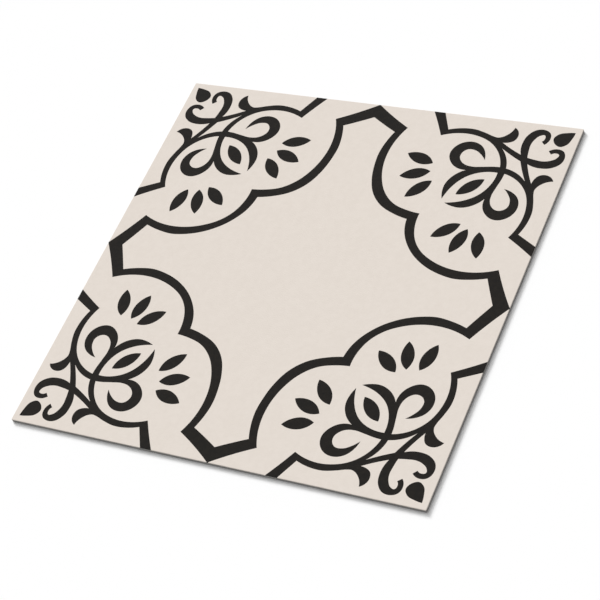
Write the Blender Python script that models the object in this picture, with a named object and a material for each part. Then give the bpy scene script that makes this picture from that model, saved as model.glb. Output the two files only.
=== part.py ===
"""A square vinyl floor tile, lying flat with its wear face up.

The tile is one sheet of filled vinyl. It is punched out of a wide sheet by a die that
comes down on the wear face, so the cut sides are square to the faces, the arris round
the wear face is drawn down to a fine round, and the one round the underside stays crisp.
The four corners carry the small radius of the die.

Metres, +Z up. The origin is the middle of the underside, and X and Y run along the sides.
"""

import bmesh
import bpy
from mathutils import Matrix

# The sheet
SIDE = 0.300
THICKNESS = 0.0025

# What the die leaves on it
CORNER_RADIUS = 0.0008
ARRIS_RADIUS = 0.0003

# How finely the two rounds are cut
CORNER_SEGMENTS = 6
ARRIS_SEGMENTS = 4

# Edges that turn by more than this, in radians, stay crisp in the shading
CRISP_ANGLE = 0.6

# The bare ground of the wear face, as linear colour
GROUND_COLOUR = (0.776, 0.708, 0.645, 1.0)
GROUND_ROUGHNESS = 0.5


def clear_scene():
    """Start from an empty scene."""
    for thing in list(bpy.data.objects):
        bpy.data.objects.remove(thing)


def vinyl():
    """Matt filled vinyl in the pale ground colour."""
    material = bpy.data.materials.new("matt_vinyl")
    material.use_nodes = True
    shader = material.node_tree.nodes["Principled BSDF"]
    shader.inputs["Base Color"].default_value = GROUND_COLOUR
    shader.inputs["Roughness"].default_value = GROUND_ROUGHNESS
    shader.inputs["Metallic"].default_value = 0.0
    return material


def round_corners(bm):
    """Round the four edges that stand upright at the corners to the die's radius."""
    upright = [edge for edge in bm.edges if abs(edge.verts[0].co.z - edge.verts[1].co.z) > THICKNESS / 2]
    bmesh.ops.bevel(
        bm,
        geom=upright,
        offset=CORNER_RADIUS,
        offset_type="OFFSET",
        segments=CORNER_SEGMENTS,
        profile=0.5,
        affect="EDGES",
        material=-1,
    )


def draw_down_arris(bm):
    """Round the arris right round the wear face, where the die pulls the vinyl down."""
    wear_face = max(bm.faces, key=lambda face: face.calc_center_median().z)
    bmesh.ops.bevel(
        bm,
        geom=list(wear_face.edges),
        offset=ARRIS_RADIUS,
        offset_type="OFFSET",
        segments=ARRIS_SEGMENTS,
        profile=0.5,
        affect="EDGES",
        material=-1,
    )


def floor_tile(material):
    """The tile itself: a blank of the full sheet thickness, then its corners and its arris."""
    bm = bmesh.new()
    blank = Matrix.Translation((0.0, 0.0, THICKNESS / 2)) @ Matrix.Diagonal((SIDE, SIDE, THICKNESS, 1.0))
    bmesh.ops.create_cube(bm, size=1.0, matrix=blank)
    round_corners(bm)
    draw_down_arris(bm)

    mesh = bpy.data.meshes.new("floor_tile")
    bm.to_mesh(mesh)
    bm.free()
    mesh.shade_smooth()
    mesh.set_sharp_from_angle(angle=CRISP_ANGLE)
    mesh.materials.append(material)

    tile = bpy.data.objects.new("floor_tile", mesh)
    bpy.context.collection.objects.link(tile)
    return tile


clear_scene()
floor_tile(vinyl())
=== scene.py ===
"""The looks of a printed vinyl floor tile that lies flat on a white floor.

Metres, +Z up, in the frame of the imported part. The print is drawn in millimetres, as outlines
that are cut into the wear face, so that its edges stay sharp at any size.
"""

from math import ceil, cos, pi, radians, sin

import bmesh
import bpy
from mathutils import Matrix, Vector
from mathutils.geometry import interpolate_bezier


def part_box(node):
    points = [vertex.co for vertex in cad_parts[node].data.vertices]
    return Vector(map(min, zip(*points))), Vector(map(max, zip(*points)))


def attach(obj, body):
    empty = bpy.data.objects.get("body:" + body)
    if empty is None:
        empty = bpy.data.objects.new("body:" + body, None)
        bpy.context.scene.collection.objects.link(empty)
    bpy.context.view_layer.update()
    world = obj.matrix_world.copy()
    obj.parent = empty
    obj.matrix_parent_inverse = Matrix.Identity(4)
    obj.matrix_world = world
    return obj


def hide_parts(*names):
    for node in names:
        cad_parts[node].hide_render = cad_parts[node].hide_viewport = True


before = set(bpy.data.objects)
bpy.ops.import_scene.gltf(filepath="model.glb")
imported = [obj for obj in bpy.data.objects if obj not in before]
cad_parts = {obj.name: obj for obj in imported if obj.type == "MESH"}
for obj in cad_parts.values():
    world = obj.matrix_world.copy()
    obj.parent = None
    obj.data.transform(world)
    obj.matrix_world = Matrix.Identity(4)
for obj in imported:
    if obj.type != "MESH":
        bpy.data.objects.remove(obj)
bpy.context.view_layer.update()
tile_low, tile_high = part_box("floor_tile")

# The camera looks down on the tile from over its near corner, through a long lens, and is
# turned about its own axis, so that the tile leans to the right in the picture.
LENS = 117.0
SENSOR_WIDTH = 36.0
CAMERA_DISTANCE = 1.2735
CAMERA_AZIMUTH = radians(43.09)
CAMERA_HEIGHT_ANGLE = radians(48.99)
CAMERA_ROLL = radians(-25.45)
AIM = Vector((0.0097, -0.0201, tile_high.z))

camera = bpy.data.objects.new("camera", bpy.data.cameras.new("camera"))
bpy.context.scene.collection.objects.link(camera)
bpy.context.scene.camera = camera
camera.data.lens = LENS
camera.data.sensor_width = SENSOR_WIDTH
turned = (
    Matrix.Rotation(CAMERA_AZIMUTH, 4, "Z")
    @ Matrix.Rotation(pi / 2 - CAMERA_HEIGHT_ANGLE, 4, "X")
    @ Matrix.Rotation(CAMERA_ROLL, 4, "Z")
)
camera.matrix_world = Matrix.Translation(AIM) @ turned @ Matrix.Translation((0, 0, CAMERA_DISTANCE))

# The tile is one sheet of filled vinyl under a thin printed film, pressed together and then cut
# out by a die. The die draws the film down to a fine round, the arris, at the cut sides, and
# its own corners are a little rounded. The tile lies loose, face up.
MM = 0.001
SIDE = (tile_high.x - tile_low.x) / MM
THICKNESS = (tile_high.z - tile_low.z) / MM
CORNER_RADIUS = 0.8
ARRIS_RADIUS = 0.3
ARRIS_STEPS = 4
MIDDLE = SIDE / 2

# The print is the same in all four corners. It is drawn from one corner of the tile, with both
# sides as axes, as strokes that start and end at a sharp turn. These three places are where it
# runs off the flat face: the corner motif's frame, and the point of the outer band.
FRAME_LOW = 100.2
FRAME_HIGH = 108.5
POINT = 149.4


def mirrored(strokes):
    """The strokes on the other side of the corner's diagonal, walked the other way."""
    return [[(y, x) for x, y in reversed(stroke)] for stroke in reversed(strokes)]


def folded(half):
    """A shape whose two halves lie on either side of the corner's diagonal, from one of them.

    A last stroke that stops short of the diagonal runs on into its own mirror image."""
    back = mirrored(half)
    if half[-1][-1] != back[0][0]:
        return half[:-1] + [half[-1] + back[0]] + back[1:]
    return half + back


# The corner bud, a drop with its tip in the corner.
bud = folded([[(4.3, 4.3), (5.0, 9.5), (7.4, 15.5), (11.4, 17.6), (14.3, 16.5)]])

# The outside of the corner motif: in along the frame, round the leaf spur, and down the stem to
# the hook that rolls up beside the bud.
motif_outside = folded([
    [(ARRIS_RADIUS, FRAME_LOW), (14.3, 92.8)],
    [(14.3, 92.8), (11.6, 82.5), (11.3, 74.5), (13.5, 65.0), (15.5, 59.0),
     (16.0, 55.9), (15.1, 53.1), (12.9, 50.3), (9.9, 48.1), (5.9, 46.8)],
    [(5.9, 46.8), (8.2, 43.9), (12.5, 42.3), (17.3, 43.8), (19.4, 47.5), (19.9, 51.0)],
    [(19.9, 51.0), (24.7, 42.4), (28.0, 35.3)],
    [(28.0, 35.3), (18.0, 37.4), (10.8, 35.9), (5.4, 30.7),
     (4.8, 25.7), (7.3, 21.0), (12.0, 19.7), (17.4, 22.2)],
    [(17.4, 22.2), (15.0, 24.8)],
    [(15.0, 24.8), (12.1, 23.4), (9.4, 24.5), (10.1, 27.2),
     (13.7, 30.0), (18.6, 31.3), (24.0, 30.9), (29.9, 29.9)],
])

# The bare eye between the two stems and the crossing.
motif_eye = folded([
    [(33.6, 33.6), (30.1, 40.6), (24.8, 49.7)],
    [(24.8, 49.7), (32.2, 44.1), (41.1, 41.1)],
])

# The inside of the corner motif: the frame to the crossing, up round the curl, and out along
# the petal and back.
motif_inside = folded([
    [(ARRIS_RADIUS, FRAME_HIGH), (9.8, 102.4), (20.2, 96.3)],
    [(20.2, 96.3), (16.6, 85.5), (16.4, 72.5), (22.5, 57.2), (31.5, 49.2), (40.6, 45.7)],
    [(40.6, 45.7), (40.9, 50.0), (42.2, 57.8), (43.1, 64.5), (42.3, 70.0), (40.5, 73.2),
     (34.8, 76.3), (29.5, 73.4), (29.3, 67.1), (31.9, 62.6), (36.5, 58.1)],
    [(36.5, 58.1), (30.9, 59.6), (25.1, 63.8), (22.2, 71.6),
     (25.3, 80.2), (33.7, 84.2), (42.5, 80.1), (46.7, 68.2)],
    [(46.7, 68.2), (52.5, 74.8), (60.8, 78.2), (67.5, 77.7), (72.9, 75.8)],
    [(72.9, 75.8), (67.8, 74.7), (61.8, 72.6), (51.6, 65.1), (46.6, 55.4), (45.6, 45.6)],
])

# The seed between the petals.
seed = folded([[(52.4, 52.4), (55.4, 61.4), (61.5, 66.3), (67.8, 67.8)]])

# The outer band: a bent strap from the middle of one side to a pair of round lobes. The lobe
# along the X side is a little fuller than the other one.
band_outside = [
    [(ARRIS_RADIUS, POINT), (9.7, 135.3), (17.3, 122.4)],
    [(17.3, 122.4), (43.0, 128.0), (63.5, 123.4), (74.4, 116.9),
     (80.6, 110.0), (85.3, 99.0), (86.3, 87.4)],
    [(86.3, 87.4), (96.2, 86.1), (106.5, 82.8), (117.5, 73.6),
     (123.3, 63.8), (127.9, 45.2), (122.2, 17.2)],
    [(122.2, 17.2), (135.3, 9.7), (POINT, ARRIS_RADIUS)],
]
band_inside = [
    [(11.6, MIDDLE), (16.9, 140.3), (22.2, 130.3)],
    [(22.2, 130.3), (34.0, 133.5), (44.0, 134.6), (54.0, 133.1),
     (70.0, 126.8), (82.8, 116.5), (91.1, 103.4), (93.4, 93.4)],
    [(93.4, 93.4), (103.0, 91.1), (117.5, 84.1), (125.5, 75.6), (130.7, 64.6),
     (133.6, 52.0), (134.4, 42.0), (132.9, 31.0), (130.2, 22.2)],
    [(130.2, 22.2), (140.3, 17.0), (MIDDLE, 11.6)],
]

# Three leaves under each lobe, all of one shape, which is a little fuller towards the heel. The
# two shares are how much of its full width a leaf has halfway from its middle to each end.
LEAF_LENGTH = 21.6
LEAF_WIDTH = 9.0
HEEL_SHARE = 0.80
TIP_SHARE = 0.75


def leaf(x, y, turn):
    """A leaf's two bowed edges, from the leaf's middle and its angle to the X side."""
    middle = Vector((x, y))
    along = Vector((cos(turn), sin(turn))) * LEAF_LENGTH / 2
    across = along.orthogonal().normalized() * LEAF_WIDTH / 2
    heel, tip = middle - along, middle + along
    near_heel, near_tip = middle - along / 2, middle + along / 2
    return [
        [heel, near_heel + side * HEEL_SHARE, near_tip + side * TIP_SHARE, tip]
        for side in (across, -across)
    ]


leaves = (
    leaf(37.0, 105.0, radians(104.0))
    + leaf(51.1, 103.8, radians(74.5))
    + leaf(62.8, 96.9, radians(39.0))
    + leaf(102.4, 40.8, radians(-15.6))
    + leaf(101.3, 54.3, radians(19.9))
    + leaf(94.2, 66.5, radians(49.1))
)

# The leaves were printed by a screen of their own, which sat a little towards one corner.
LEAF_DRIFT = (-0.9, -0.9, 0.0)

# The flat face's own edge: the round of the corner, and the stretches of two half sides, which
# the film leaves bare and the print covers by turns.
FLAT_CORNER = CORNER_RADIUS - ARRIS_RADIUS
CORNER_BOW = CORNER_RADIUS - FLAT_CORNER * cos(pi / 4)
corner_round = [
    (ARRIS_RADIUS, CORNER_RADIUS), (CORNER_BOW, CORNER_BOW), (CORNER_RADIUS, ARRIS_RADIUS)
]
marks = [CORNER_RADIUS, FRAME_LOW, FRAME_HIGH, POINT, MIDDLE]
stretches = [[(ARRIS_RADIUS, a), (ARRIS_RADIUS, b)] for a, b in zip(marks, marks[1:])]
bare_edge = [corner_round] + stretches[0::2] + mirrored(stretches[0::2])
printed_edge = stretches[1::2] + mirrored(stretches[1::2])

LONGEST_STEP = 0.8
WIDEST_TURN = radians(8)
SAME_POINT = 0.002


def smooth_line(stroke):
    """Points of a smooth line through the given ones, and of an arc where they lie on a circle."""
    knots = [Vector((*point, 0.0)) for point in stroke]
    chords = [b - a for a, b in zip(knots, knots[1:])]
    if len(chords) == 1:
        return knots
    headings = [
        (a / a.length_squared + b / b.length_squared).normalized()
        for a, b in zip(chords, chords[1:])
    ]
    headings.insert(0, -headings[0].reflect(chords[0].normalized()))
    headings.append(-headings[-1].reflect(chords[-1].normalized()))
    line = knots[:1]
    bows = zip(knots, knots[1:], chords, headings, headings[1:])
    for start, end, chord, leaving, arriving in bows:
        reach = chord.length_squared * 2 / 3
        handle_out = start + leaving * reach / (chord.length + leaving.dot(chord))
        handle_in = end - arriving * reach / (chord.length + arriving.dot(chord))
        steps = ceil(max(chord.length / LONGEST_STEP, leaving.angle(arriving) / WIDEST_TURN))
        line += interpolate_bezier(start, handle_out, handle_in, end, steps + 1)[1:]
    return line


def merge_into(whole, part):
    """Adds one drawing to another, joins the points that they share, and frees the first."""
    carried = bpy.data.meshes.new("carried")
    part.to_mesh(carried)
    part.free()
    whole.from_mesh(carried)
    bpy.data.meshes.remove(carried)
    bmesh.ops.remove_doubles(whole, verts=whole.verts, dist=SAME_POINT)


def print_in_corners(film, strokes, drift=(0.0, 0.0, 0.0)):
    """Draws the strokes in all four corners of the film, each a mirror image of its neighbours."""
    screen = bmesh.new()
    for stroke in strokes:
        line = [screen.verts.new(point) for point in smooth_line(stroke)]
        for a, b in zip(line, line[1:]):
            screen.edges.new((a, b))
    bmesh.ops.translate(screen, verts=screen.verts, vec=(-MIDDLE, -MIDDLE, THICKNESS))
    for axis in "XY":
        geometry = screen.verts[:] + screen.edges[:]
        bmesh.ops.mirror(screen, geom=geometry, axis=axis, merge_dist=SAME_POINT)
    bmesh.ops.translate(screen, verts=screen.verts, vec=drift)
    merge_into(film, screen)


# The wear face, filled twice between the same outlines: once as bare ground and once as ink.
GROUND, INK, CORE, BACK = range(4)
scrollwork = bud + motif_outside + motif_eye + motif_inside + seed + band_outside + band_inside
sheet = bmesh.new()
for slot, edge in ((GROUND, bare_edge), (INK, printed_edge)):
    film = bmesh.new()
    print_in_corners(film, edge + scrollwork)
    print_in_corners(film, leaves, LEAF_DRIFT)
    bmesh.ops.triangle_fill(film, use_beauty=True, edges=film.edges, normal=(0, 0, 1))
    for face in film.faces:
        face.material_index = slot
    merge_into(sheet, film)


def outward(point):
    """The direction out of the tile, square to its cut side, at a point near its outline."""
    reach = MIDDLE - CORNER_RADIUS
    nearest = Vector((max(-reach, min(reach, point.x)), max(-reach, min(reach, point.y)), point.z))
    return (point - nearest).normalized()


def extruded(edges):
    """Extrudes the rim, and returns the new rim with the vertices on it."""
    made = bmesh.ops.extrude_edge_only(sheet, edges=edges)["geom"]
    rim = [item for item in made if isinstance(item, bmesh.types.BMEdge) and item.is_boundary]
    return rim, [item for item in made if isinstance(item, bmesh.types.BMVert)]


# The arris: the film, and the print with it, goes over a quarter round to the cut side.
rim = [edge for edge in sheet.edges if edge.is_boundary]
for step in range(ARRIS_STEPS):
    before, after = (pi / 2 * turn / ARRIS_STEPS for turn in (step, step + 1))
    rim, verts = extruded(rim)
    for vert in verts:
        vert.co += outward(vert.co) * ARRIS_RADIUS * (sin(after) - sin(before))
        vert.co.z -= ARRIS_RADIUS * (cos(before) - cos(after))

# The cut side shows the filled core. The underside is bare core too, pressed smooth by a roller.
rim, verts = extruded(rim)
for vert in verts:
    vert.co.z = 0.0
for edge in rim:
    for face in edge.link_faces:
        face.material_index = CORE
bmesh.ops.edgeloop_fill(sheet, edges=rim, mat_nr=BACK)
bmesh.ops.recalc_face_normals(sheet, faces=sheet.faces)
bmesh.ops.scale(sheet, vec=(MM, MM, MM), verts=sheet.verts)
sheet.normal_update()

# The map that the finish is baked on has a wide field for the bare ground, a small one each for
# the ink and the underside, and a strip for each cut side, with a gutter between them all.
WIDE = 0.64
SMALL = 1 - WIDE
CUT_SIDES = 4
GUTTER = Vector((0.01, 0.01))
fields = {
    GROUND: (Vector((0.0, SMALL)), Vector((WIDE, WIDE))),
    INK: (Vector((WIDE, WIDE)), Vector((SMALL, SMALL))),
    BACK: (Vector((WIDE, WIDE - SMALL)), Vector((SMALL, SMALL))),
    CORE: (Vector((0.0, 0.0)), Vector((WIDE, SMALL / CUT_SIDES))),
}
bake_map = sheet.loops.layers.uv.new("OFBake")
for face in sheet.faces:
    corner, size = fields[face.material_index]
    on_side = face.material_index == CORE
    faces_x = abs(face.normal.x) > abs(face.normal.y)
    if on_side:
        strip = 2 * faces_x + (face.normal.x + face.normal.y > 0)
        corner = corner + Vector((0.0, strip * size.y))
    for loop in face.loops:
        place = loop.vert.co / MM
        share = Vector((place.x, place.y)) / SIDE + Vector((0.5, 0.5))
        if on_side:
            share = Vector((share.y if faces_x else share.x, place.z / THICKNESS))
        loop[bake_map].uv = corner + GUTTER + share * (size - 2 * GUTTER)

# Only the arris is shaded as one round. All the other faces are flat.
LEVEL = 0.999
for face in sheet.faces:
    face.smooth = face.material_index != CORE and 0 < face.normal.z < LEVEL

tile_mesh = bpy.data.meshes.new("printed_tile")
sheet.to_mesh(tile_mesh)
sheet.free()

# The rollers leave an uneven polish and a fine grain on the film and on the core, and neither
# takes up its colour quite evenly.
POLISH_PATCH = 30 * MM
POLISH_CHANGE = 0.04
GRAIN_PITCH = 0.8 * MM
GRAIN_DETAIL = 1.0
MOTTLE_DETAIL = 5.0
MOTTLE_FROM, MOTTLE_TO = 0.35, 0.65


def finish_of(name, dark, light, patch, specular, roughness, grain):
    """A vinyl finish: patches of two near colours, uneven polish, and a fine pressed grain."""
    material = bpy.data.materials.new(name)
    material.use_nodes = True
    nodes, links = material.node_tree.nodes, material.node_tree.links
    shader = nodes["Principled BSDF"]
    shader.inputs["Specular IOR Level"].default_value = specular
    place = nodes.new("ShaderNodeTexCoord")

    mottle = nodes.new("ShaderNodeTexNoise")
    mottle.inputs["Scale"].default_value = 1 / patch
    mottle.inputs["Detail"].default_value = MOTTLE_DETAIL
    tint = nodes.new("ShaderNodeValToRGB")
    dark_stop, light_stop = tint.color_ramp.elements
    dark_stop.position = MOTTLE_FROM
    dark_stop.color = (*dark, 1.0)
    light_stop.position = MOTTLE_TO
    light_stop.color = (*light, 1.0)
    links.new(place.outputs["Object"], mottle.inputs["Vector"])
    links.new(mottle.outputs["Fac"], tint.inputs["Fac"])
    links.new(tint.outputs["Color"], shader.inputs["Base Color"])

    polish = nodes.new("ShaderNodeTexNoise")
    polish.inputs["Scale"].default_value = 1 / POLISH_PATCH
    polish_range = nodes.new("ShaderNodeMapRange")
    polish_range.inputs["To Min"].default_value = roughness - POLISH_CHANGE
    polish_range.inputs["To Max"].default_value = roughness + POLISH_CHANGE
    links.new(place.outputs["Object"], polish.inputs["Vector"])
    links.new(polish.outputs["Fac"], polish_range.inputs["Value"])
    links.new(polish_range.outputs["Result"], shader.inputs["Roughness"])

    pressed = nodes.new("ShaderNodeTexNoise")
    pressed.inputs["Scale"].default_value = 1 / GRAIN_PITCH
    pressed.inputs["Detail"].default_value = GRAIN_DETAIL
    bump = nodes.new("ShaderNodeBump")
    bump.inputs["Distance"].default_value = grain
    links.new(place.outputs["Object"], pressed.inputs["Vector"])
    links.new(pressed.outputs["Fac"], bump.inputs["Height"])
    links.new(bump.outputs["Normal"], shader.inputs["Normal"])
    return material


bare_vinyl = finish_of(
    "bare_vinyl",
    dark=(0.762, 0.694, 0.630),
    light=(0.782, 0.714, 0.650),
    patch=4 * MM,
    specular=0.12,
    roughness=0.55,
    grain=0.08 * MM,
)
printed_ink = finish_of(
    "printed_ink",
    dark=(0.010, 0.009, 0.008),
    light=(0.014, 0.012, 0.010),
    patch=3 * MM,
    specular=0.12,
    roughness=0.55,
    grain=0.08 * MM,
)
filled_core = finish_of(
    "filled_core",
    dark=(0.25, 0.24, 0.23),
    light=(0.33, 0.32, 0.305),
    patch=0.8 * MM,
    specular=0.1,
    roughness=0.8,
    grain=0.04 * MM,
)
rolled_back = finish_of(
    "rolled_back",
    dark=(0.24, 0.23, 0.22),
    light=(0.29, 0.28, 0.267),
    patch=2.5 * MM,
    specular=0.1,
    roughness=0.7,
    grain=0.06 * MM,
)
for material in (bare_vinyl, printed_ink, filled_core, rolled_back):
    tile_mesh.materials.append(material)

printed_tile = bpy.data.objects.new("printed_tile", tile_mesh)
bpy.context.scene.collection.objects.link(printed_tile)
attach(printed_tile, "root")
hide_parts("floor_tile")

# The white floor that the tile lies on, one flat sheet, wide enough to fill the picture. The
# tile lies on it with a hair's breadth between them.
FLOOR_HALF_WIDTH = 6.0
FLOOR_GAP = 0.00005
floor_drawing = bmesh.new()
bmesh.ops.create_grid(floor_drawing, x_segments=1, y_segments=1, size=FLOOR_HALF_WIDTH)
bmesh.ops.translate(floor_drawing, verts=floor_drawing.verts, vec=(0, 0, tile_low.z - FLOOR_GAP))
floor_mesh = bpy.data.meshes.new("floor")
floor_drawing.to_mesh(floor_mesh)
floor_drawing.free()
floor = bpy.data.objects.new("floor", floor_mesh)
bpy.context.scene.collection.objects.link(floor)
white_floor = bpy.data.materials.new("white_floor")
white_floor.use_nodes = True
floor_shader = white_floor.node_tree.nodes["Principled BSDF"]
floor_shader.inputs["Base Color"].default_value = (1.0, 1.0, 1.0, 1.0)
floor_shader.inputs["Roughness"].default_value = 1.0
floor_shader.inputs["Specular IOR Level"].default_value = 0.0
floor_mesh.materials.append(white_floor)

# Two soft lamps stand beyond the far corner, a low one and a high one, so that the near sides
# are in shade and the shadow is short and soft. Each gives a share of the light on the floor.
LAMP_AZIMUTH = radians(139.0)
for name, height_angle, spread, share in (
    ("low_lamp", radians(28.5), radians(17), 0.40),
    ("high_lamp", radians(52), radians(40), 0.28),
):
    lamp = bpy.data.objects.new(name, bpy.data.lights.new(name, "SUN"))
    lamp.data.energy = share * pi / sin(height_angle)
    lamp.data.angle = spread
    lamp.rotation_euler = (pi / 2 - height_angle, 0.0, pi / 2 + LAMP_AZIMUTH)
    lamp.visible_glossy = False
    bpy.context.scene.collection.objects.link(lamp)

# The white room gives the rest of the light. The camera, the gloss and anything clear see it at
# full white, which is brighter than the light that it gives.
ROOM_SHARE = 0.32
room = bpy.data.worlds.new("white_room")
bpy.context.scene.world = room
room.use_nodes = True
nodes, links = room.node_tree.nodes, room.node_tree.links
ambient = nodes["Background"]
ambient.inputs["Color"].default_value = (1.0, 1.0, 1.0, 1.0)
ambient.inputs["Strength"].default_value = ROOM_SHARE
seen = nodes.new("ShaderNodeBackground")
seen.inputs["Color"].default_value = (1.0, 1.0, 1.0, 1.0)
seen.inputs["Strength"].default_value = 1.0
path = nodes.new("ShaderNodeLightPath")
camera_or_gloss = nodes.new("ShaderNodeMath")
camera_or_gloss.operation = "MAXIMUM"
any_clear_view = nodes.new("ShaderNodeMath")
any_clear_view.operation = "MAXIMUM"
choice = nodes.new("ShaderNodeMixShader")
links.new(path.outputs["Is Camera Ray"], camera_or_gloss.inputs[0])
links.new(path.outputs["Is Glossy Ray"], camera_or_gloss.inputs[1])
links.new(camera_or_gloss.outputs["Value"], any_clear_view.inputs[0])
links.new(path.outputs["Is Transmission Ray"], any_clear_view.inputs[1])
links.new(any_clear_view.outputs["Value"], choice.inputs["Fac"])
links.new(ambient.outputs["Background"], choice.inputs[1])
links.new(seen.outputs["Background"], choice.inputs[2])
links.new(choice.outputs["Shader"], nodes["World Output"].inputs["Surface"])

bpy.context.scene.view_settings.view_transform = "Standard"
